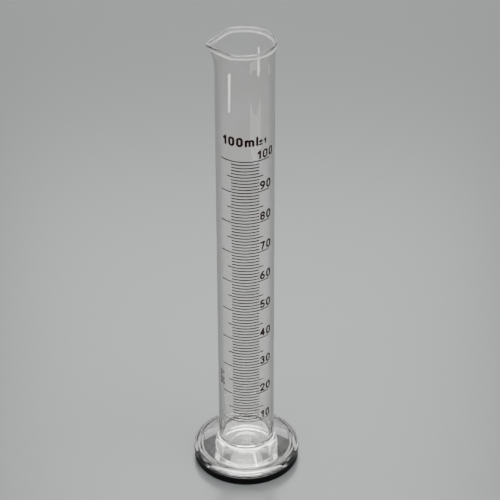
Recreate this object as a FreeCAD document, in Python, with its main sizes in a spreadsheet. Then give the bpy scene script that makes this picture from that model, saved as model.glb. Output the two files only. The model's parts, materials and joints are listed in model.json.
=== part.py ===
"""A 100 ml graduated measuring cylinder of clear glass on a round pressed-glass foot.

Frame: +Z up, origin at the centre of the contact face under the foot. The scale faces -Y
and the pouring spout points along -X. All lengths are in millimetres.
"""
import FreeCAD, Part
import Sketcher
import math
import os

Vector = FreeCAD.Vector
Rotation = FreeCAD.Rotation
Placement = FreeCAD.Placement

# Driving sizes: cell alias, value. One cell holds one size that can be set by itself.
SIZES = [
    ("bore_dia", 26.8),
    ("tube_wall", 1.3),
    ("floor_thickness", 2.05),
    ("floor_corner", 2.0),
    ("headroom", 58.4),
    ("lip_height", 13.0),
    ("lip_flare", 0.75),
    ("spout_reach", 4.7),
    ("spout_angle", 49.0),
    ("spout_tip_turn", 6.0),
    ("spout_cheek_end", 48.0),
    ("spout_blend_end", 80.0),
    ("spout_curve", 1.6),
    ("bead_dia", 1.7),
    ("bead_crown", 80.0),
    ("foot_dia", 56.4),
    ("foot_height", 12.2),
    ("foot_edge_land", 1.2),
    ("foot_edge_round", 2.5),
    ("foot_edge_roll", 25.0),
    ("foot_groove_round", 2.0),
    ("foot_slope", 31.5),
    ("foot_neck_round", 2.4),
    ("foot_clearance", 0.8),
    ("pontil_dia", 28.0),
    ("pontil_depth", 2.6),
    ("ring_height", 4.4),
    ("ring_width", 2.6),
    ("ring_recess", 0.3),
    ("ring_chamfer", 0.4),
    ("enamel", 0.08),
    ("line_width", 0.56),
    ("minor_span", 56.0),
    ("five_span", 74.0),
    ("ten_span", 104.0),
    ("letter_gap", 0.21),
    ("digit_height", 4.9),
    ("digit_stroke", 0.95),
    ("digit_lift", 0.8),
    ("digit_gap", 0.35),
    ("label_height", 5.2),
    ("label_stroke", 1.2),
    ("label_lift", 8.5),
    ("label_angle", -10.5),
    ("tolerance_height", 3.5),
    ("tolerance_stroke", 0.75),
    ("tolerance_gap", 0.3),
    ("mark_height", 3.3),
    ("mark_stroke", 0.55),
    ("mark_angle", -50.0),
    ("mark_millilitres", 24.3),
]

CAPACITY = 100
LOWEST_LINE = 10
DECADE = 10
DECADES = CAPACITY // DECADE
CAPACITY_TEXT = f"{CAPACITY}ml"

doc = FreeCAD.newDocument("graduated_cylinder")
sheet = doc.addObject("Spreadsheet::Sheet", "sizes")
for row, (alias, number) in enumerate(SIZES, start=1):
    sheet.set(f"A{row}", alias)
    sheet.set(f"B{row}", str(number))
    sheet.setAlias(f"B{row}", alias)
doc.recompute()

# Sizes worked out from the driving ones, as expressions on the sheet.
BORE = "(sizes.bore_dia / 2)"
TUBE = f"({BORE} + sizes.tube_wall)"
MILLILITRE = f"(1000 / (pi * {BORE} ^ 2))"
FLOOR = "(sizes.foot_height + sizes.floor_thickness)"
# The rounded corner of the bore's floor holds less than a square one, so zero lies higher.
CORNER_AREA = "((1 - pi / 4) * sizes.floor_corner ^ 2)"
CORNER_CENTROID = "((10 - 3 * pi) / (12 - 3 * pi) * sizes.floor_corner)"
ZERO = f"({FLOOR} + 2 * {CORNER_AREA} * ({BORE} - {CORNER_CENTROID}) / {BORE} ^ 2)"
TOP_LINE = f"({ZERO} + {CAPACITY} * {MILLILITRE})"
TOTAL_HEIGHT = f"({TOP_LINE} + sizes.headroom)"
LIP_BASE = f"({TOTAL_HEIGHT} - sizes.lip_height)"
FOOT = "(sizes.foot_dia / 2)"
RING_OUTER = f"({FOOT} - sizes.ring_recess)"
RING_INNER = f"({RING_OUTER} - sizes.ring_width)"
FOOT_SEAM = f"({TUBE} + sizes.foot_neck_round * (1 - sin(sizes.foot_slope * 1deg)))"
NECK_TOP = "(sizes.foot_height + sizes.foot_neck_round * cos(sizes.foot_slope * 1deg))"
ENAMEL_OUTER = f"({TUBE} + sizes.enamel)"


def value(expression):
    """The number that an expression on the sheet has now."""
    return float(sheet.evalExpression(expression))


def origin_plane(body, role):
    """The body's own origin plane of that role."""
    return next(item for item in body.Origin.OriginFeatures if item.Role == role)


def new_body(label):
    """An empty body under its own label, free to hold separate solids."""
    body = doc.addObject("PartDesign::Body", label)
    body.Label = label
    body.AllowCompound = True
    return body


def new_sketch(body, name, facing_front=False):
    """A sketch whose x runs outwards from the axis and whose y runs up.

    It lies in the XZ plane, or, facing_front, in the YZ plane with x towards -Y.
    """
    sketch = body.newObject("Sketcher::SketchObject", name)
    sketch.AttachmentSupport = [(origin_plane(body, "YZ_Plane" if facing_front else "XZ_Plane"), "")]
    sketch.MapMode = "FlatFace"
    if facing_front:
        sketch.AttachmentOffset = Placement(Vector(), Rotation(Vector(0, 1, 0), 180))
    return sketch


def hold(sketch, kind, geometry, point, expression):
    """Hold one coordinate of a point at the value of an expression."""
    index = sketch.addConstraint(Sketcher.Constraint(kind, -1, 1, geometry, point, value(expression)))
    sketch.setExpression(f"Constraints[{index}]", expression)


def draw_outline(sketch, corners):
    """A closed outline through corners (x, y) or (x, y, radius).

    x and y are expressions. A radius makes the edge that ends at the corner an arc: a
    positive one turns left, a negative one turns right. An x of None is on the axis.
    """
    points = [Vector(value(corner[0]) if corner[0] else 0, value(corner[1]), 0) for corner in corners]
    first = sketch.GeometryCount
    for index, corner in enumerate(corners):
        start, end = points[index - 1], points[index]
        bulge = value(corner[2]) if len(corner) == 3 else 0
        sketch.addGeometry(arc_between(start, end, bulge) if bulge else Part.LineSegment(start, end))
    for index, corner in enumerate(corners):
        edge, following = first + index, first + (index + 1) % len(corners)
        end_point, next_start = edge_points(corner)[1], edge_points(corners[(index + 1) % len(corners)])[0]
        sketch.addConstraint(Sketcher.Constraint("Coincident", edge, end_point, following, next_start))
        if corner[0]:
            hold(sketch, "DistanceX", edge, end_point, corner[0])
        else:
            sketch.addConstraint(Sketcher.Constraint("PointOnObject", edge, end_point, -2))
        hold(sketch, "DistanceY", edge, end_point, corner[1])
        if len(corner) == 3:
            radius = sketch.addConstraint(Sketcher.Constraint("Radius", edge, abs(value(corner[2]))))
            sketch.setExpression(f"Constraints[{radius}]", f"abs({corner[2]})")


def edge_points(corner):
    """The sketcher's numbers of an edge's start and end; an arc that turns right is reversed."""
    return (2, 1) if len(corner) == 3 and value(corner[2]) < 0 else (1, 2)


def arc_between(start, end, bulge):
    """The short arc of radius |bulge| from start to end, turning left where bulge is positive."""
    middle = (start + end) * 0.5
    along = end - start
    left = Vector(-along.y, along.x, 0).normalize()
    rise = math.sqrt(max(bulge ** 2 - (along.Length / 2) ** 2, 0))
    centre = middle + left * math.copysign(rise, bulge)
    if bulge < 0:
        start, end = end, start
    angles = [math.atan2(point.y - centre.y, point.x - centre.x) for point in (start, end)]
    return Part.ArcOfCircle(Part.Circle(centre, Vector(0, 0, 1), abs(bulge)), *angles)


def revolve(body, sketch, name, span=None):
    """Turn a sketch about the cylinder's axis, all round or by a span centred on the sketch."""
    feature = body.newObject("PartDesign::Revolution", name)
    feature.Profile = sketch
    feature.ReferenceAxis = (sketch, ["V_Axis"])
    feature.Angle = 360
    if span:
        feature.Midplane = True
        feature.setExpression("Angle", span)
    return feature


def build_foot():
    """The pressed-glass foot: rolled edge, sloping web, hollow pontil and a seat for the ring."""
    body = new_body("foot")
    sketch = new_sketch(body, "foot_outline")
    hollow = "(sizes.pontil_dia / 2)"
    hollow_sphere = f"(({hollow} ^ 2 + sizes.pontil_depth ^ 2) / (2 * sizes.pontil_depth))"
    edge, roll = "sizes.foot_edge_round", "(sizes.foot_edge_roll * 1deg)"
    groove, slope = "sizes.foot_groove_round", "(sizes.foot_slope * 1deg)"
    land_top = "(sizes.ring_height + sizes.foot_edge_land)"
    roll_end = (f"({FOOT} - {edge} * (1 + sin({roll})))", f"({land_top} + {edge} * cos({roll}))")
    groove_end = (f"({roll_end[0]} - {groove} * (sin({roll}) + sin({slope})))",
                  f"({roll_end[1]} + {groove} * (cos({roll}) - cos({slope})))")
    draw_outline(sketch, [
        (None, "sizes.foot_height"),
        (None, "sizes.foot_clearance + sizes.pontil_depth"),
        (hollow, "sizes.foot_clearance", f"-{hollow_sphere}"),
        (RING_INNER, "sizes.foot_clearance"),
        (RING_INNER, "sizes.ring_height"),
        (FOOT, "sizes.ring_height"),
        (FOOT, land_top),
        (*roll_end, edge),
        (*groove_end, f"-{groove}"),
        (FOOT_SEAM, "sizes.foot_height"),
    ])
    revolve(body, sketch, "foot_pressing")
    return body


def build_foot_ring():
    """The black rubber ring in its seat under the foot's edge, chamfered where it meets the bench."""
    body = new_body("foot_ring")
    sketch = new_sketch(body, "ring_outline")
    draw_outline(sketch, [
        (RING_INNER, "sizes.ring_height"),
        (RING_INNER, "0"),
        (f"{RING_OUTER} - sizes.ring_chamfer", "0"),
        (RING_OUTER, "sizes.ring_chamfer"),
        (RING_OUTER, "sizes.ring_height"),
    ])
    revolve(body, sketch, "ring_moulding")
    return body


def build_barrel():
    """The straight barrel from its spread, closed bottom on the foot to the base of the lip."""
    body = new_body("barrel")
    sketch = new_sketch(body, "barrel_outline")
    draw_outline(sketch, [
        (None, "sizes.foot_height"),
        (FOOT_SEAM, "sizes.foot_height"),
        (TUBE, NECK_TOP, "-sizes.foot_neck_round"),
        (TUBE, LIP_BASE),
        (BORE, LIP_BASE),
        (BORE, f"{FLOOR} + sizes.floor_corner"),
        (f"{BORE} - sizes.floor_corner", FLOOR, "-sizes.floor_corner"),
        (None, FLOOR),
    ])
    revolve(body, sketch, "barrel_drawing")
    return body


def smooth_step(position, low, high):
    """0 up to low, 1 from high on, and a smooth rise between them."""
    share = min(max((position - low) / (high - low), 0), 1)
    return share * share * (3 - 2 * share)


def lip_radius(angle, share, radius):
    """The lip's distance from the axis, at an angle in degrees from the spout's own direction.

    share is the height within the lip, from 0 at its base to 1 at the rim. The spout's two
    cheeks are straight lines that meet at its tip, and they run out into the round lip.
    """
    tip = radius + value("sizes.spout_reach")
    cheek = math.radians(value("sizes.spout_angle"))
    turned = math.hypot(math.radians(angle), math.radians(value("sizes.spout_tip_turn")))
    straight = tip * math.sin(cheek) / math.sin(cheek + turned)
    in_spout = 1 - smooth_step(abs(angle), value("sizes.spout_cheek_end"), value("sizes.spout_blend_end"))
    return radius + (straight - radius) * in_spout * share ** value("sizes.spout_curve")


LOFT_SHARES = (0, 0.25, 0.5, 0.75, 1)
OUTLINE_STEP = 6


def lip_outline(height, inset):
    """A closed level curve round the lip at a height, inset from its outer face."""
    share = (height - value(LIP_BASE)) / value("sizes.lip_height")
    radius = value(TUBE) + value("sizes.lip_flare") * share ** 2
    points = []
    for angle in range(-180, 180, OUTLINE_STEP):
        distance = lip_radius(angle, share, radius) - inset
        turned = math.radians(180 + angle)
        points.append(Vector(distance * math.cos(turned), distance * math.sin(turned), height))
    curve = Part.BSplineCurve()
    curve.interpolate(Points=points, PeriodicFlag=True)
    return Part.Wire(curve.toShape())


def lip_ring(levels):
    """A ring of glass through levels of (height, inset of its outer face, inset of its inner face)."""
    outside = Part.makeLoft([lip_outline(height, outer) for height, outer, inner in levels], True, False)
    inside = Part.makeLoft([lip_outline(height, inner) for height, outer, inner in levels], True, False)
    return outside.cut(inside)


def build_lip():
    """The flared lip with its pinched pouring spout and the fire-polished bead round its rim."""
    wall, bead = value("sizes.tube_wall"), value("sizes.bead_dia") / 2
    base, middle = value(LIP_BASE), value(TOTAL_HEIGHT) - bead
    lowest = -math.acos(min(wall / 2 / bead, 1))
    neck = middle + bead * math.sin(lowest)
    crown = math.radians(value("sizes.bead_crown"))
    wall_levels = [(base + share * (neck - base), 0, wall) for share in LOFT_SHARES]
    bead_levels = []
    for share in LOFT_SHARES:
        angle = lowest + share * (crown - lowest)
        height, reach = middle + bead * math.sin(angle), bead * math.cos(angle)
        bead_levels.append((height, wall / 2 - reach, wall / 2 + reach))
    lip = doc.addObject("Part::Feature", "lip")
    lip.Shape = lip_ring(wall_levels).fuse(lip_ring(bead_levels))
    lip.Placement = Placement()
    return lip


def build_tube():
    """The drawn glass tube in one piece: closed barrel, flared lip, spout and bead."""
    barrel, lip = build_barrel(), build_lip()
    doc.recompute()
    joint_tolerance = 1e-4
    tube = doc.addObject("Part::Feature", "cylinder_tube")
    tube.Label = "cylinder_tube"
    tube.Shape = barrel.Shape.fuse([lip.Shape], joint_tolerance)
    tube.Placement = Placement()
    return tube


def build_lines(label, volumes, span, decades):
    """Printed lines at the given volumes of the first decade, repeated up the scale."""
    body = new_body(label)
    sketch = new_sketch(body, f"{label}_outline", facing_front=True)
    for volume in volumes:
        middle = f"{ZERO} + {volume} * {MILLILITRE}"
        draw_outline(sketch, [
            (TUBE, f"{middle} - sizes.line_width / 2"),
            (ENAMEL_OUTER, f"{middle} - sizes.line_width / 2"),
            (ENAMEL_OUTER, f"{middle} + sizes.line_width / 2"),
            (TUBE, f"{middle} + sizes.line_width / 2"),
        ])
    printed = revolve(body, sketch, f"{label}_decade", span=span)
    pattern = body.newObject("PartDesign::LinearPattern", f"{label}_scale")
    pattern.Originals = [printed]
    pattern.Direction = (sketch, ["V_Axis"])
    pattern.Occurrences = decades
    pattern.setExpression("Length", f"{(decades - 1) * DECADE} * {MILLILITRE}")
    body.Tip = pattern
    return body


def line(*points):
    """Straight strokes through points given as (x, y) shares of the letter's height."""
    vectors = [Vector(across, up, 0) for across, up in points]
    return [Part.makeLine(start, end) for start, end in zip(vectors, vectors[1:])]


def arc(centre, radius, start, end):
    """A round stroke about centre, turning left from start to end, in degrees."""
    return [Part.makeCircle(radius, Vector(*centre, 0), Vector(0, 0, 1), start, end)]


def bowl(centre, radius):
    """A full round stroke."""
    return arc(centre, radius, 0, 360)


def on_circle(centre, radius, angle):
    """The point of a circle at an angle in degrees."""
    turned = math.radians(angle)
    return centre[0] + radius * math.cos(turned), centre[1] + radius * math.sin(turned)


# Centre lines of the letters, as shares of their height: ROUND is the radius of a round
# letter's ends, LOWER and UPPER those of two bowls on top of each other, and SWEEP that of a
# long stem. ARCH is the radius of m's arches, whose tops are at X_HEIGHT.
ROUND, LOWER, UPPER, SWEEP = 0.27, 0.26, 0.24, 0.827
ARCH, X_HEIGHT = 0.225, 0.68
TOP, BOTTOM = (ROUND, 1 - ROUND), (ROUND, ROUND)
HOOK = -40
GLYPHS = {
    "0": [arc(TOP, ROUND, 0, 180) + line((0, 1 - ROUND), (0, ROUND))
          + arc(BOTTOM, ROUND, 180, 360) + line((2 * ROUND, ROUND), (2 * ROUND, 1 - ROUND))],
    "1": [line((0.1, 0.72), (0.36, 1), (0.36, 0))],
    "2": [arc(TOP, ROUND, HOOK, 170) + line(on_circle(TOP, ROUND, HOOK), (0, 0), (2 * ROUND, 0))],
    "3": [arc((LOWER, 1 - UPPER), UPPER, -90, 150), arc((LOWER, LOWER), LOWER, -150, 90)],
    "4": [line((0.42, 0), (0.42, 1), (0, 0.3), (0.56, 0.3))],
    "5": [line((0.48, 1), (0.08, 1), (0.02, 0.5)), arc((0.23, 0.29), 0.29, -150, 135)],
    "6": [bowl(BOTTOM, ROUND), arc((SWEEP, ROUND), SWEEP, 120, 180)],
    "7": [line((0, 1), (0.54, 1), (0.2, 0))],
    "8": [bowl((LOWER, LOWER), LOWER), bowl((LOWER, 1 - UPPER), UPPER)],
    "9": [bowl(TOP, ROUND), arc((2 * ROUND - SWEEP, 1 - ROUND), SWEEP, -60, 0)],
    "m": [line((0, 0), (0, X_HEIGHT)),
          arc((ARCH, X_HEIGHT - ARCH), ARCH, 0, 180), line((2 * ARCH, X_HEIGHT - ARCH), (2 * ARCH, 0)),
          arc((3 * ARCH, X_HEIGHT - ARCH), ARCH, 0, 180), line((4 * ARCH, X_HEIGHT - ARCH), (4 * ARCH, 0))],
    "l": [line((0, 0), (0, 1))],
    "±": [line((0, 0.69), (0.5, 0.69)), line((0.25, 0.42), (0.25, 0.96)), line((0, 0.06), (0.5, 0.06))],
    "°": [bowl((0.14, 0.86), 0.14)],
    "C": [arc((0.3, 0.7), 0.3, 20, 180) + line((0, 0.7), (0, 0.3)) + arc((0.3, 0.3), 0.3, 180, 340)],
}
UPRIGHT, UP_THE_TUBE = 0, 90
# How far a flat letter reaches to either side of the tube's skin before it is trimmed to it.
PLATE_REACH = 1.0


def glyph_width(letter):
    """The width of a letter's centre lines, as a share of its height."""
    edges = [edge for stroke in GLYPHS[letter] for edge in stroke]
    return Part.Compound(edges).BoundBox.XMax


def stroke_solid(edge, stroke, depth):
    """One stroke of a letter with round ends, as a thick plate that lies in the XY plane."""
    if edge.Curve.TypeId == "Part::GeomCircle":
        centre, radius = edge.Curve.Center, edge.Curve.Radius
        span = math.degrees(edge.LastParameter - edge.FirstParameter)
        ring = Part.makeCylinder(radius + stroke / 2, depth, centre, Vector(0, 0, 1), span)
        ring = ring.cut(Part.makeCylinder(radius - stroke / 2, depth, centre, Vector(0, 0, 1), 360))
        toward = edge.Vertexes[0].Point - centre
        ring.rotate(centre, Vector(0, 0, 1), math.degrees(math.atan2(toward.y, toward.x)))
        if span > 359:
            return ring
        body = ring
    else:
        start, end = edge.Vertexes[0].Point, edge.Vertexes[-1].Point
        along = end - start
        body = Part.makeBox(along.Length, stroke, depth, Vector(0, -stroke / 2, 0))
        body.rotate(Vector(), Vector(0, 0, 1), math.degrees(math.atan2(along.y, along.x)))
        body.translate(start)
    ends = [Part.makeCylinder(stroke / 2, depth, vertex.Point) for vertex in edge.Vertexes]
    return body.multiFuse(ends)


def letter_plate(letter, height, stroke, depth):
    """A letter as one plate on the XY plane, standing on the x axis."""
    size = height - stroke
    plates = []
    for strokes in GLYPHS[letter]:
        for edge in strokes:
            grown = edge.copy()
            grown.scale(size)
            plates.append(stroke_solid(grown, stroke, depth))
    plate = plates[0].multiFuse(plates[1:]) if len(plates) > 1 else plates[0]
    plate.translate(Vector(0, stroke / 2, 0))
    return plate.removeSplitter()


def wrap(plate, across, up, turn):
    """Print a plate on the tube: turned, bent round by its own place across, and set at a height."""
    tube, skin = value(TUBE), value(ENAMEL_OUTER)
    middle = plate.BoundBox.Center.x
    plate.translate(Vector(-middle, 0, 0))
    plate.rotate(Vector(), Vector(0, 0, 1), turn)
    plate.rotate(Vector(), Vector(1, 0, 0), 90)
    plate.translate(Vector(0, PLATE_REACH - tube, 0))
    low, tall = plate.BoundBox.ZMin - PLATE_REACH, plate.BoundBox.ZLength + 2 * PLATE_REACH
    shell = Part.makeCylinder(skin, tall, Vector(0, 0, low))
    shell = shell.cut(Part.makeCylinder(tube, tall, Vector(0, 0, low)))
    printed = shell.common(plate)
    printed.rotate(Vector(), Vector(0, 0, 1), math.degrees(across / tube))
    printed.translate(Vector(0, 0, up))
    return printed


def letter_sizes(kind):
    """The height and the stroke of one kind of letter."""
    return value(f"sizes.{kind}_height"), value(f"sizes.{kind}_stroke")


def centre_offsets(text, kind):
    """The places of the letters' centres along a line of text, from its middle."""
    height, stroke = letter_sizes(kind)
    size = height - stroke
    gap = value("sizes.letter_gap") * size + stroke
    widths = [glyph_width(letter) * size for letter in text]
    place = -(sum(widths) + gap * (len(text) - 1)) / 2
    offsets = []
    for width in widths:
        offsets.append(place + width / 2)
        place += width + gap
    return offsets


def text_width(text, kind):
    """The width of a line of text over its strokes."""
    height, stroke = letter_sizes(kind)
    first, last = (glyph_width(letter) * (height - stroke) / 2 for letter in (text[0], text[-1]))
    offsets = centre_offsets(text, kind)
    return offsets[-1] + last - offsets[0] + first + stroke


def build_print(label, text, kind, across, level, turn=UPRIGHT):
    """Text printed round the tube, or up it, with its middle at a distance across from the front.

    level is the height of the baseline, or of the text's middle where it runs up the tube.
    """
    letters = []
    for letter, offset in zip(text, centre_offsets(text, kind)):
        plate = letter_plate(letter, *letter_sizes(kind), 2 * PLATE_REACH)
        if turn == UPRIGHT:
            letters.append(wrap(plate, across + offset, level, turn))
        else:
            letters.append(wrap(plate, across, level + offset, turn))
    node = doc.addObject("Part::Feature", label)
    node.Label = label
    node.Shape = Part.Compound([solid for letter in letters for solid in letter.Solids])
    node.Placement = Placement()
    return node


def at_angle(angle):
    """The distance round the tube from the front to an angle in degrees."""
    return math.radians(angle) * value(TUBE)


def build_numeral(volume):
    """The number beside one ten-millilitre line, just clear of the shortest lines' ends."""
    baseline = value(f"{ZERO} + {volume} * {MILLILITRE} + sizes.digit_lift")
    lines_end = at_angle(value("sizes.minor_span / 2"))
    across = lines_end + value("sizes.digit_gap") + text_width("00", "digit") / 2
    return build_print(f"numeral_{volume}", str(volume), "digit", across, baseline)


def build_label():
    """The bold capacity above the scale."""
    baseline = value(f"{TOP_LINE} + sizes.label_lift")
    across = at_angle(value("sizes.label_angle"))
    return build_print("capacity_label", CAPACITY_TEXT, "label", across, baseline)


def build_tolerance():
    """The tolerance in millilitres, smaller, beside the capacity."""
    text = "±1"
    baseline = value(f"{TOP_LINE} + sizes.label_lift")
    label_end = at_angle(value("sizes.label_angle")) + text_width(CAPACITY_TEXT, "label") / 2
    across = label_end + value("sizes.tolerance_gap") + text_width(text, "tolerance") / 2
    return build_print("tolerance_mark", text, "tolerance", across, baseline)


def build_temperature_mark():
    """The generic reference temperature, printed up the left of the scale."""
    middle = value(f"{ZERO} + sizes.mark_millilitres * {MILLILITRE}")
    across = at_angle(value("sizes.mark_angle"))
    return build_print("temperature_mark", "20°C", "mark", across, middle, UP_THE_TUBE)


def build_scale():
    """All three lengths of line."""
    first = LOWEST_LINE
    minor = [first + step for step in range(1, DECADE) if step != DECADE // 2]
    return [
        build_lines("ten_ml_graduations", [first], "sizes.ten_span", DECADES),
        build_lines("five_ml_graduations", [first + DECADE // 2], "sizes.five_span", DECADES - 1),
        build_lines("minor_graduations", minor, "sizes.minor_span", DECADES - 1),
    ]


def check(parts):
    """Stop if any object failed, or a part's shape is missing or not valid."""
    for item in doc.Objects:
        if "Invalid" in item.State or "Error" in item.State:
            raise RuntimeError(f"{item.Label} failed: {item.State}")
    for part in parts:
        if part.Shape.isNull() or not part.Shape.isValid() or part.Shape.Volume <= 0:
            raise RuntimeError(f"{part.Label} has no valid shape")


def export(parts):
    """Write each part to its own file."""
    os.makedirs("parts", exist_ok=True)
    for part in parts:
        part.Shape.exportStep(f"parts/{part.Label}.step")
        box = part.Shape.BoundBox
        print(f"{part.Label}: {len(part.Shape.Solids)} solids, {part.Shape.Volume:.1f} mm3, "
              f"z {box.ZMin:.2f} to {box.ZMax:.2f}")


parts = [build_foot(), build_foot_ring(), build_tube()]
parts += build_scale()
parts += [build_numeral(volume) for volume in range(LOWEST_LINE, CAPACITY + 1, DECADE)]
parts += [build_label(), build_tolerance(), build_temperature_mark()]
doc.recompute()
check(parts)
export(parts)
print(f"one millilitre is {value(MILLILITRE):.4f} mm, zero at {value(ZERO):.3f} mm, "
      f"height {value(TOTAL_HEIGHT):.2f} mm")
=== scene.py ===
"""Looks of the 100 ml graduated cylinder: clear glass, fired brown enamel and black rubber."""
import json
import logging
import math
from dataclasses import dataclass
from enum import Enum
from typing import Any, Iterable, Optional, Union

import bmesh
import bpy
from mathutils import Matrix, Vector


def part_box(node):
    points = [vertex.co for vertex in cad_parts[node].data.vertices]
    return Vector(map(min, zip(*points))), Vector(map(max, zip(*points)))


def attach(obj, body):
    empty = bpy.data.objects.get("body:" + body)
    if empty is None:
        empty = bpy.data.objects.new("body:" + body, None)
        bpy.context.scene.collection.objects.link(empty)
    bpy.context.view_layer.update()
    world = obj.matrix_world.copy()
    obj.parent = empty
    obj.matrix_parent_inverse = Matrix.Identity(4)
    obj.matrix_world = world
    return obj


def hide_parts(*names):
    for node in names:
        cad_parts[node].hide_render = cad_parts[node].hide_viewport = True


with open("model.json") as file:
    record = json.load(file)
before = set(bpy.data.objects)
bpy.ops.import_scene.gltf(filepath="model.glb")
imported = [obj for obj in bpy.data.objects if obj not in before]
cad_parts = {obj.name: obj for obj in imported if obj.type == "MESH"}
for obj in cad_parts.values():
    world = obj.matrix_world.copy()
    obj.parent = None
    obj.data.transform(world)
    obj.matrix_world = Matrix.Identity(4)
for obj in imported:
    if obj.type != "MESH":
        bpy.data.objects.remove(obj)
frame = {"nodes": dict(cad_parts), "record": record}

logging.basicConfig(level=logging.INFO, format="%(levelname)s %(message)s")
LOG = logging.getLogger("graduated_cylinder")

Place = tuple[float, float, float]
Colour = tuple[float, float, float, float]
Span = tuple[float, float]

MM = 0.001
BODY = "root"
AXIS = Vector((0.0, 0.0, 1.0))
CENTRE = Vector((0.0, 0.0, 0.0))
WHITE: Colour = (1.0, 1.0, 1.0, 1.0)
# An edge longer than HELD_FROM times HOLD gets a point HOLD from each of its ends.
HOLD = 0.3 * MM
HELD_FROM = 3.0
MERGE = 1e-4 * MM
ENAMEL_THICKNESS = 0.08 * MM
RING_WIDTH = 2.6 * MM
RING_INSET = 0.02 * MM


class Slot(Enum):
    """The material slots of the record."""

    GLASS = "clear_glass"
    RUBBER = "black_rubber"
    ENAMEL = "brown_enamel"


# ---------------------------------------------------------------- shader graphs


class Signal:
    """A shader socket that takes part in arithmetic."""

    def __init__(self, nodes: "Nodes", socket: bpy.types.NodeSocket) -> None:
        """Wrap a socket.

        Args:
            nodes: the node tree that the socket belongs to.
            socket: an output socket of one of its nodes.
        """
        self.nodes = nodes
        self.socket = socket

    def _math(self, operation: str, *values: Any) -> "Signal":
        """Add a Math node.

        Args:
            operation: the node's operation.
            values: its inputs in order.

        Returns:
            The node's output.
        """
        inputs = {index: entry for index, entry in enumerate(values)}
        return self.nodes.add("ShaderNodeMath", {"operation": operation}, inputs)

    def __add__(self, other: Any) -> "Signal":
        """self + other."""
        return self._math("ADD", self, other)

    def __radd__(self, other: Any) -> "Signal":
        """other + self."""
        return self._math("ADD", other, self)

    def __mul__(self, other: Any) -> "Signal":
        """self * other."""
        return self._math("MULTIPLY", self, other)

    def __rmul__(self, other: Any) -> "Signal":
        """other * self."""
        return self._math("MULTIPLY", other, self)

    def ramp(self, span: Span, start: float = 0.0, end: float = 1.0) -> "Signal":
        """A smooth step from one value to another.

        Args:
            span: where the step starts and ends.
            start: the value up to the span.
            end: the value from the span on.

        Returns:
            The stepped value.
        """
        low, high = span
        settings = {"interpolation_type": "SMOOTHSTEP"}
        inputs = {"Value": self, "From Min": low, "From Max": high, "To Min": start, "To Max": end}
        return self.nodes.add("ShaderNodeMapRange", settings, inputs, "Result")


class Nodes:
    """A node tree that is built node by node."""

    def __init__(self, tree: bpy.types.NodeTree) -> None:
        """Wrap a node tree."""
        self.tree = tree

    def add(
        self,
        kind: str,
        settings: Optional[dict[str, Any]] = None,
        inputs: Optional[dict[Union[str, int], Any]] = None,
        output: Union[str, int] = 0,
    ) -> Signal:
        """Add a node.

        Args:
            kind: the node's type.
            settings: its properties, which are set first.
            inputs: values or signals for its input sockets.
            output: the output socket to return.

        Returns:
            That output.
        """
        node = self.tree.nodes.new(kind)
        for name, entry in (settings or {}).items():
            setattr(node, name, entry)
        for key, entry in (inputs or {}).items():
            self.feed(node.inputs[key], entry)
        return Signal(self, node.outputs[output])

    def feed(self, socket: bpy.types.NodeSocket, entry: Any) -> None:
        """Link a signal to an input socket, or set a plain value on it.

        Args:
            socket: the input socket.
            entry: the signal or the value.
        """
        if isinstance(entry, Signal):
            self.tree.links.new(entry.socket, socket)
        else:
            socket.default_value = entry


class Graph(Nodes):
    """The node tree of one material, with its Principled shader."""

    def __init__(self, name: str) -> None:
        """Make a material with one Principled shader.

        Args:
            name: the material's name.
        """
        self.material = bpy.data.materials.new(name)
        self.material.use_nodes = True
        super().__init__(self.material.node_tree)
        self.shader = self.tree.nodes["Principled BSDF"]

    def surface(self, **inputs: Any) -> None:
        """Feed the Principled shader.

        Args:
            inputs: values or signals by the name of the socket, with underscores for spaces.
        """
        for name, entry in inputs.items():
            self.feed(self.shader.inputs[name.replace("_", " ")], entry)

    def place(self, stretch: Place = (1.0, 1.0, 1.0)) -> Signal:
        """The surface's own place in millimetres.

        Args:
            stretch: how much each axis is scaled; a small value draws a pattern out along it.

        Returns:
            The place.
        """
        spot = self.add("ShaderNodeTexCoord", output="Object")
        scale = tuple(entry / MM for entry in stretch)
        return self.add("ShaderNodeVectorMath", {"operation": "MULTIPLY"}, {0: spot, 1: scale})

    def noise(self, place: Signal, scale: float, detail: float = 3.0, roughness: float = 0.5) -> Signal:
        """Cloudy noise.

        Args:
            place: where it is read.
            scale: how many times it repeats in a millimetre.
            detail: its octaves.
            roughness: how strong the finer octaves are.

        Returns:
            The noise, about 0 to 1.
        """
        inputs = {"Vector": place, "Scale": scale, "Detail": detail, "Roughness": roughness}
        return self.add("ShaderNodeTexNoise", {"noise_dimensions": "3D"}, inputs, "Fac")

    def blend(self, mask: Signal, first: Colour, second: Colour) -> Signal:
        """A colour between two.

        Args:
            mask: 0 for the first colour, 1 for the second.
            first: a colour.
            second: another colour.

        Returns:
            The blended colour.
        """
        settings = {"data_type": "RGBA", "blend_type": "MIX"}
        return self.add("ShaderNodeMix", settings, {"Factor": mask, 6: first, 7: second}, 2)

    def bump(
        self, height: Signal, depth: float, strength: float = 1.0, under: Optional[Signal] = None
    ) -> Signal:
        """A normal from a height map.

        Args:
            height: the height, 0 to 1.
            depth: what a height of 1 stands for, in metres.
            strength: how much of the bump shows.
            under: a bumped normal that this bump lies on.

        Returns:
            The bumped normal.
        """
        inputs: dict[Union[str, int], Any] = {"Height": height, "Distance": depth, "Strength": strength}
        if under is not None:
            inputs["Normal"] = under
        return self.add("ShaderNodeBump", None, inputs)


# ---------------------------------------------------------------- finishes


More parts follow.
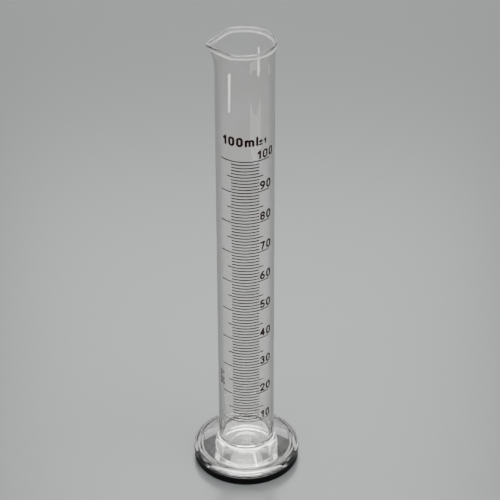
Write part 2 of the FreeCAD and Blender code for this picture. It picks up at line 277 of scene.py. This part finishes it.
@dataclass(frozen=True)
class ClearGlass:
    """Clear, colourless glass, fire polished, with the faint marks of drawing and handling."""

    ior: float = 1.5
    tint: Colour = (0.988, 0.988, 0.975, 1.0)
    thick_tint: Colour = (0.966, 0.962, 0.932, 1.0)
    tint_span: Span = (0.3, 0.7)
    draw_scale: float = 0.9
    draw_stretch: Place = (1.0, 1.0, 0.012)
    draw_depth: float = 0.010 * MM
    ripple_scale: float = 0.06
    ripple_depth: float = 0.05 * MM
    handling_scale: float = 0.08
    handling_span: Span = (0.52, 0.78)
    wipe_scale: float = 1.4
    wipe_stretch: Place = (1.0, 1.0, 0.2)
    wipe_span: Span = (0.45, 0.8)
    smear: float = 0.035

    def make(self) -> bpy.types.Material:
        """Build the material."""
        graph = Graph(Slot.GLASS.value)
        place = graph.place()
        drawn = graph.noise(graph.place(self.draw_stretch), self.draw_scale, detail=2.0)
        ripple = graph.noise(place, self.ripple_scale, detail=1.0)
        handled = graph.noise(place, self.handling_scale, detail=4.0, roughness=0.6)
        wiped = graph.noise(graph.place(self.wipe_stretch), self.wipe_scale)
        draw_normal = graph.bump(drawn, self.draw_depth)
        graph.surface(
            Base_Color=graph.blend(ripple.ramp(self.tint_span), self.tint, self.thick_tint),
            Roughness=handled.ramp(self.handling_span) * wiped.ramp(self.wipe_span) * self.smear,
            Transmission_Weight=1.0,
            IOR=self.ior,
            Normal=graph.bump(ripple, self.ripple_depth, under=draw_normal),
        )
        return graph.material


@dataclass(frozen=True)
class BlackRubber:
    """Black moulded rubber with a fine grain and a trace of dust."""

    deep: Colour = (0.0016, 0.0016, 0.0018, 1.0)
    dusty: Colour = (0.0075, 0.0075, 0.0075, 1.0)
    specular: float = 0.12
    roughness: float = 0.34
    cloud_roughness: float = 0.16
    dust_roughness: float = 0.2
    cloud_scale: float = 0.35
    cloud_span: Span = (0.5, 0.8)
    grain_scale: float = 4.0
    grain_span: Span = (0.4, 0.7)
    grain_depth: float = 0.02 * MM

    def make(self) -> bpy.types.Material:
        """Build the material."""
        graph = Graph(Slot.RUBBER.value)
        place = graph.place()
        grain = graph.noise(place, self.grain_scale, detail=4.0)
        cloud = graph.noise(place, self.cloud_scale)
        dust = cloud.ramp(self.cloud_span) * grain.ramp(self.grain_span)
        graph.surface(
            Base_Color=graph.blend(dust, self.deep, self.dusty),
            Roughness=self.roughness + cloud * self.cloud_roughness + dust * self.dust_roughness,
            Specular_IOR_Level=self.specular,
            Normal=graph.bump(grain, self.grain_depth, strength=0.5),
        )
        return graph.material


@dataclass(frozen=True)
class BrownEnamel:
    """Fired screen-printed enamel: very dark brown, a little uneven, with a soft gloss."""

    deep: Colour = (0.0105, 0.0021, 0.0019, 1.0)
    thin: Colour = (0.0240, 0.0056, 0.0044, 1.0)
    specular: float = 0.2
    roughness: float = 0.28
    grain_roughness: float = 0.18
    cloud_scale: float = 1.2
    thin_span: Span = (0.42, 0.72)
    grain_scale: float = 9.0
    mesh_depth: float = 0.012 * MM

    def make(self) -> bpy.types.Material:
        """Build the material."""
        graph = Graph(Slot.ENAMEL.value)
        place = graph.place()
        cloud = graph.noise(place, self.cloud_scale, detail=4.0, roughness=0.6)
        grain = graph.noise(place, self.grain_scale, detail=2.0)
        graph.surface(
            Base_Color=graph.blend(cloud.ramp(self.thin_span), self.deep, self.thin),
            Roughness=self.roughness + grain * self.grain_roughness,
            Specular_IOR_Level=self.specular,
            Normal=graph.bump(grain, self.mesh_depth, strength=0.6),
        )
        return graph.material


@dataclass(frozen=True)
class PaleTable:
    """A plain grey table with a satin surface, pale under the studio's lights."""

    colour: Colour = (0.088, 0.092, 0.093, 1.0)
    roughness: float = 0.25
    ior: float = 1.5

    def make(self) -> bpy.types.Material:
        """Build the material."""
        graph = Graph("pale_table")
        graph.surface(Base_Color=self.colour, Roughness=self.roughness, IOR=self.ior)
        return graph.material


@dataclass(frozen=True)
class LitWall:
    """An evenly lit white wall."""

    glow: float = 3.5

    def make(self) -> bpy.types.Material:
        """Build the material."""
        graph = Graph("lit_wall")
        graph.surface(Base_Color=WHITE, Emission_Color=WHITE, Emission_Strength=self.glow)
        return graph.material


# ---------------------------------------------------------------- mesh helpers


@dataclass(frozen=True)
class Corner:
    """A corner of a turned profile, in metres.

    radius is its distance from the axis and height its height. A curve of that many segments
    replaces it, from rounding before it to rounding after it.
    """

    radius: float
    height: float
    rounding: float = 0.0
    segments: int = 6


def hold_flats(shape: bmesh.types.BMesh, margin: float) -> None:
    """Add a point near both ends of every long edge, so that smooth shading leaves flats flat.

    Args:
        shape: a profile of edges.
        margin: how far from the ends the points are.
    """
    for edge in [edge for edge in shape.edges if edge.calc_length() > HELD_FROM * margin]:
        rest, point = bmesh.utils.edge_split(edge, edge.verts[0], margin / edge.calc_length())
        longer = max(edge, rest, key=lambda piece: piece.calc_length())
        bmesh.utils.edge_split(longer, longer.other_vert(point), margin / longer.calc_length())


def turned_shape(corners: Iterable[Corner], steps: int, closed: bool) -> bmesh.types.BMesh:
    """Turn a profile all round the axis.

    Args:
        corners: the profile, counter-clockwise seen with the axis at the left.
        steps: how many faces go round.
        closed: whether the last corner joins the first; else both ends are on the axis.

    Returns:
        A closed shell.
    """
    shape = bmesh.new()
    corners = list(corners)
    points = [shape.verts.new((corner.radius, 0.0, corner.height)) for corner in corners]
    for start, end in zip(points, points[1:] + points[:1] if closed else points[1:]):
        shape.edges.new((start, end))
    for corner, point in zip(corners, points):
        if corner.rounding:
            bmesh.ops.bevel(
                shape,
                geom=[point],
                offset=corner.rounding,
                offset_type="OFFSET",
                segments=corner.segments,
                profile=0.5,
                affect="VERTICES",
                material=-1,
            )
    hold_flats(shape, HOLD)
    bmesh.ops.spin(
        shape,
        geom=shape.verts[:] + shape.edges[:],
        cent=CENTRE,
        axis=AXIS,
        angle=math.tau,
        steps=steps,
        use_merge=True,
    )
    bmesh.ops.remove_doubles(shape, verts=shape.verts[:], dist=MERGE)
    bmesh.ops.recalc_face_normals(shape, faces=shape.faces[:])
    return shape


def finish_piece(shape: bmesh.types.BMesh, name: str, material: bpy.types.Material) -> bpy.types.Object:
    """Turn a bmesh into a smooth-shaded object at the origin.

    Args:
        shape: the mesh, which is freed.
        name: the piece's name.
        material: its material.

    Returns:
        The new object.
    """
    mesh = bpy.data.meshes.new(name)
    shape.to_mesh(mesh)
    shape.free()
    mesh.materials.append(material)
    mesh.shade_smooth()
    piece = bpy.data.objects.new(name, mesh)
    bpy.context.scene.collection.objects.link(piece)
    return piece


def smooth_step(position: float, low: float, high: float) -> float:
    """A smooth rise.

    Args:
        position: where it is read.
        low: up to here it is 0.
        high: from here on it is 1.

    Returns:
        The value, 0 to 1.
    """
    share = min(max((position - low) / (high - low), 0.0), 1.0)
    return share * share * (3.0 - 2.0 * share)


# ---------------------------------------------------------------- sub-assemblies


@dataclass
class Spout:
    """The pinched pouring spout and the flare of the lip, as moves of the glass near the rim."""

    reach: float = 4.7 * MM
    cheek_angle: float = math.radians(49.0)
    tip_rounding: float = math.radians(6.0)
    cheek_end: float = math.radians(48.0)
    round_start: float = math.radians(80.0)
    curve: float = 1.6
    flare: float = 0.75 * MM
    dip: float = 1.4 * MM
    dip_end: float = math.radians(60.0)

    def shift(self, angle: float, share: float, radius: float) -> tuple[float, float]:
        """How far the glass moves.

        Args:
            angle: from the spout's own direction.
            share: the height within the lip, 0 at its base and 1 at the rim.
            radius: the tube's outer radius.

        Returns:
            The move outwards and the move up.
        """
        rim = radius + self.flare * share**2
        turned = math.hypot(angle, self.tip_rounding)
        straight = (rim + self.reach) * math.sin(self.cheek_angle) / math.sin(self.cheek_angle + turned)
        in_spout = 1.0 - smooth_step(abs(angle), self.cheek_end, self.round_start)
        outwards = rim - radius + (straight - rim) * in_spout * share**self.curve
        near_tip = 1.0 - smooth_step(abs(angle), 0.0, self.dip_end)
        return outwards, -self.dip * near_tip * share**2


@dataclass
class GlassBody:
    """The tube and the foot, fused into one clear piece of glass."""

    bore: float
    wall: float
    foot_radius: float
    ring_inner: float
    ring_height: float
    weld_height: float
    height: float
    floor_thickness: float = 2.05 * MM
    floor_corner: float = 2.0 * MM
    lip_height: float = 13.0 * MM
    bead: float = 1.7 * MM
    bead_round: float = 0.46
    foot_clearance: float = 0.8 * MM
    pontil_radius: float = 14.0 * MM
    pontil_depth: float = 2.6 * MM
    pontil_edge: float = 0.6 * MM
    pontil_rings: int = 10
    seat_edge: float = 0.3 * MM
    seat_corner: float = 0.15 * MM
    under_corner: float = 0.25 * MM
    edge_land: float = 1.2 * MM
    edge_round: float = 2.5 * MM
    edge_roll: float = math.radians(25.0)
    roll_share: float = 0.98
    groove_round: float = 2.0 * MM
    slope: float = math.radians(31.5)
    neck_round: float = 2.4 * MM
    seat_gap: float = 0.03 * MM
    lip_rings: int = 14
    steps: int = 256

    def pontil(self) -> list[Corner]:
        """The hollow under the foot.

        Returns:
            Its section from the axis outwards.
        """
        sphere = (self.pontil_radius**2 + self.pontil_depth**2) / (2 * self.pontil_depth)
        points = []
        for ring in range(self.pontil_rings):
            radius = self.pontil_radius * ring / self.pontil_rings
            drop = sphere - math.sqrt(sphere**2 - radius**2)
            points.append(Corner(radius, self.foot_clearance + self.pontil_depth - drop))
        return points

    def foot(self) -> list[Corner]:
        """The foot over its rolled edge and up the web.

        Returns:
            Its section from the pontil's edge to the neck.
        """
        tube = self.bore + self.wall
        seat = self.ring_inner - self.seat_gap
        under_edge = self.ring_height + self.seat_gap
        crown = self.ring_height + self.edge_land + self.edge_round
        roll_slide = self.edge_round * math.tan(self.edge_roll / 2)
        groove_slide = self.groove_round * math.tan((self.edge_roll + self.slope) / 2)
        neck_slide = self.neck_round * math.tan((math.pi / 2 - self.slope) / 2)
        crown_end = self.foot_radius - self.edge_round - roll_slide
        groove_radius = crown_end - (roll_slide + groove_slide) * math.cos(self.edge_roll)
        groove_height = crown - (roll_slide + groove_slide) * math.sin(self.edge_roll)
        neck_height = groove_height + (groove_radius - tube) * math.tan(self.slope)
        return [
            Corner(self.pontil_radius, self.foot_clearance, self.pontil_edge),
            Corner(seat, self.foot_clearance, self.seat_edge),
            Corner(seat, under_edge, self.seat_corner, segments=3),
            Corner(self.foot_radius, under_edge, self.under_corner, segments=4),
            Corner(self.foot_radius, crown, self.edge_round, segments=14),
            Corner(crown_end, crown, roll_slide * self.roll_share),
            Corner(groove_radius, groove_height, groove_slide, segments=10),
            Corner(tube, neck_height, neck_slide, segments=12),
        ]

    def levels(self) -> list[float]:
        """The heights of the lip's rings, from its base up."""
        base, top = self.height - self.lip_height, self.height - self.bead
        return [base + (top - base) * ring / self.lip_rings for ring in range(self.lip_rings)]

    def rim(self) -> list[Corner]:
        """The fire-polished bead.

        Returns:
            Its section from the outside in.
        """
        middle = self.bore + self.wall / 2
        outer, inner = middle + self.bead / 2, middle - self.bead / 2
        neck, round_off = self.height - self.bead, self.bead * self.bead_round
        return [
            Corner(outer, neck, round_off),
            Corner(outer, self.height, round_off),
            Corner(inner, self.height, round_off),
            Corner(inner, neck, round_off),
        ]

    def profile(self) -> list[Corner]:
        """The whole section through the glass.

        Returns:
            The section from the axis below to the axis inside.
        """
        tube = self.bore + self.wall
        floor = self.weld_height + self.floor_thickness
        outside = [Corner(tube, level) for level in self.levels()]
        inside = [Corner(self.bore, level) for level in reversed(self.levels())]
        bottom = [Corner(self.bore, floor, self.floor_corner, segments=10), Corner(0.0, floor)]
        return self.pontil() + self.foot() + outside + self.rim() + inside + bottom

    def build(self, spout: Spout, glass: bpy.types.Material) -> bpy.types.Object:
        """Turn the section and pull out the lip.

        Args:
            spout: how the lip is shaped.
            glass: the material.

        Returns:
            The glass body.
        """
        shape = turned_shape(self.profile(), self.steps, closed=False)
        base = self.height - self.lip_height
        for point in shape.verts:
            if point.co.z <= base:
                continue
            share = (point.co.z - base) / self.lip_height
            angle = math.atan2(point.co.y, -point.co.x)
            outwards, up = spout.shift(angle, share, self.bore + self.wall)
            flat = Vector((point.co.x, point.co.y, 0.0))
            point.co += flat.normalized() * outwards + AXIS * up
        piece = finish_piece(shape, "glass_body", glass)
        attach(piece, BODY)
        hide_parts("cylinder_tube", "foot")
        return piece


@dataclass
class FootRing:
    """The black rubber ring that the foot's edge rests on."""

    inner: float
    outer: float
    height: float
    edge_round: float = 0.45 * MM
    top_share: float = 0.4
    steps: int = 192

    def build(self, rubber: bpy.types.Material) -> bpy.types.Object:
        """Turn the ring's rounded section.

        Args:
            rubber: the material.

        Returns:
            The ring.
        """
        top_round = self.edge_round * self.top_share
        corners = [
            Corner(self.inner, 0.0, self.edge_round, segments=5),
            Corner(self.outer, 0.0, self.edge_round, segments=5),
            Corner(self.outer, self.height, top_round, segments=3),
            Corner(self.inner, self.height, top_round, segments=3),
        ]
        shape = turned_shape(corners, self.steps, closed=True)
        piece = finish_piece(shape, "rubber_ring", rubber)
        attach(piece, BODY)
        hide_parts("foot_ring")
        return piece


@dataclass
class PrintedScale:
    """The fired print: every line, number and word keeps its own shape."""

    prefixes: tuple[str, ...] = (
        "minor_",
        "five_",
        "ten_",
        "numeral_",
        "capacity_",
        "tolerance_",
        "temperature_",
    )

    def dress(self, enamel: bpy.types.Material) -> list[str]:
        """Give every print its enamel.

        Args:
            enamel: the material.

        Returns:
            The names of the prints.
        """
        prints = [name for name in sorted(frame["nodes"]) if name.startswith(self.prefixes)]
        for name in prints:
            mesh = frame["nodes"][name].data
            mesh.materials.clear()
            mesh.materials.append(enamel)
        return prints


# ---------------------------------------------------------------- the studio


@dataclass(frozen=True)
class SoftBox:
    """A rectangular light; glow is how bright its face is, and it faces the point aim."""

    name: str
    place: Place
    size: Span
    glow: float
    aim: Place = (0.0, 0.0, 0.1)

    def build(self) -> bpy.types.Object:
        """Hang the light.

        Returns:
            The light's object.
        """
        width, height = self.size
        light = bpy.data.lights.new(self.name, "AREA")
        light.shape = "RECTANGLE"
        light.size = width
        light.size_y = height
        light.energy = self.glow * math.pi * width * height
        lamp = bpy.data.objects.new(self.name, light)
        lamp.location = self.place
        facing = Vector(self.aim) - Vector(self.place)
        lamp.rotation_euler = facing.to_track_quat("-Z", "Y").to_euler()
        bpy.context.scene.collection.objects.link(lamp)
        return lamp


@dataclass
class Studio:
    """The plain table, the lit wall, the soft lights and the camera."""

    table_size: float = 6.0
    wall_distance: float = 4.0
    wall_width: float = 7.0
    wall_heights: Span = (-0.05, 1.35)
    camera_place: Place = (0.00225, -0.8459, 0.6927)
    camera_pitch: float = math.radians(33.58)
    camera_roll: float = -0.0031
    lens: float = 144.4
    sensor: float = 36.0
    view_depth: float = 20.0
    ceiling_low: float = math.radians(42.0)
    ceiling_high: float = math.radians(62.0)
    ceiling_glow: float = 2.5
    side_glow: float = 0.40
    boxes: tuple[SoftBox, ...] = (
        SoftBox("back_box", (0.0, 1.9, 1.75), (0.9, 1.3), 6.5),
        SoftBox("top_box", (0.0, -0.15, 1.0), (0.9, 0.9), 7.0),
        SoftBox("key_box", (0.22, -0.09, 0.95), (0.20, 0.15), 55.0),
    )
    strip: SoftBox = SoftBox("left_strip", (-0.27, -0.15, 0.070), (0.035, 0.04), 12.0, (0.0, 0.0, 0.070))
    card: SoftBox = SoftBox("right_card", (0.20, -0.24, 0.028), (0.24, 0.04), 2.4, (0.0, 0.0, 0.028))

    def table(self) -> None:
        """A plain table."""
        shape = bmesh.new()
        bmesh.ops.create_grid(shape, x_segments=1, y_segments=1, size=self.table_size / 2)
        finish_piece(shape, "table", PaleTable().make())

    def wall(self) -> None:
        """A low lit wall far behind the table."""
        low, high = self.wall_heights
        upright = Matrix.Rotation(math.pi / 2, 4, "X")
        place = Matrix.Translation((0.0, self.wall_distance, (low + high) / 2))
        shape = bmesh.new()
        bmesh.ops.create_grid(shape, x_segments=1, y_segments=1, size=0.5)
        bmesh.ops.scale(shape, vec=(self.wall_width, high - low, 1.0), verts=shape.verts[:])
        bmesh.ops.transform(shape, matrix=place @ upright, verts=shape.verts[:])
        finish_piece(shape, "wall", LitWall().make())

    def place_camera(self) -> None:
        """The camera, pitched down at the cylinder, with a trace of roll."""
        data = bpy.data.cameras.new("camera")
        data.lens = self.lens
        data.sensor_width = self.sensor
        data.clip_end = self.view_depth
        camera = bpy.data.objects.new("camera", data)
        camera.location = self.camera_place
        upright = Matrix.Rotation(math.pi / 2 - self.camera_pitch, 3, "X")
        camera.rotation_euler = (upright @ Matrix.Rotation(self.camera_roll, 3, "Z")).to_euler()
        bpy.context.scene.collection.objects.link(camera)
        bpy.context.scene.camera = camera

    def lights(self, glass: bpy.types.Object) -> None:
        """The soft boxes, and a strip and a card that only the glass sees.

        Args:
            glass: the glass body.
        """
        for box in self.boxes:
            box.build()
        lit = bpy.data.collections.new("lit_by_cards")
        lit.objects.link(glass)
        strip, card = self.strip.build(), self.card.build()
        card.visible_transmission = False
        for lamp in (strip, card):
            lamp.visible_camera = False
            lamp.light_linking.receiver_collection = lit

    def room(self) -> None:
        """The room: dim at the sides, with a pale ceiling overhead."""
        world = bpy.data.worlds.new("room")
        world.use_nodes = True
        nodes = Nodes(world.node_tree)
        direction = nodes.add("ShaderNodeTexCoord", output="Generated")
        up = nodes.add("ShaderNodeSeparateXYZ", None, {0: direction}, "Z")
        climb = (math.sin(self.ceiling_low), math.sin(self.ceiling_high))
        background = nodes.tree.nodes["Background"]
        nodes.feed(background.inputs["Color"], WHITE)
        nodes.feed(background.inputs["Strength"], up.ramp(climb, self.side_glow, self.ceiling_glow))
        bpy.context.scene.world = world


def main() -> None:
    """Build the pieces in order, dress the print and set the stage."""
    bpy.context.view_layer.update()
    bore = next(mount for mount in frame["record"]["mounts"] if mount["kind"] == "bore")
    bore_radius = bore["dims"]["r_mm"] * MM
    print_reach = -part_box("minor_graduations")[0].y
    foot_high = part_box("foot")[1]
    ring_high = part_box("foot_ring")[1]

    body = GlassBody(
        bore=bore_radius,
        wall=print_reach - ENAMEL_THICKNESS - bore_radius,
        foot_radius=foot_high.x,
        ring_inner=ring_high.x - RING_WIDTH,
        ring_height=ring_high.z,
        weld_height=foot_high.z,
        height=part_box("cylinder_tube")[1].z,
    ).build(Spout(), ClearGlass().make())
    LOG.info("%s: %d faces", body.name, len(body.data.polygons))

    ring = FootRing(
        inner=ring_high.x - RING_WIDTH,
        outer=ring_high.x - RING_INSET,
        height=ring_high.z,
    ).build(BlackRubber().make())
    LOG.info("%s: %d faces", ring.name, len(ring.data.polygons))

    prints = PrintedScale().dress(BrownEnamel().make())
    LOG.info("prints: %s", ", ".join(prints))

    studio = Studio()
    studio.table()
    studio.wall()
    studio.lights(body)
    studio.room()
    studio.place_camera()


if __name__ == "__main__":
    main()
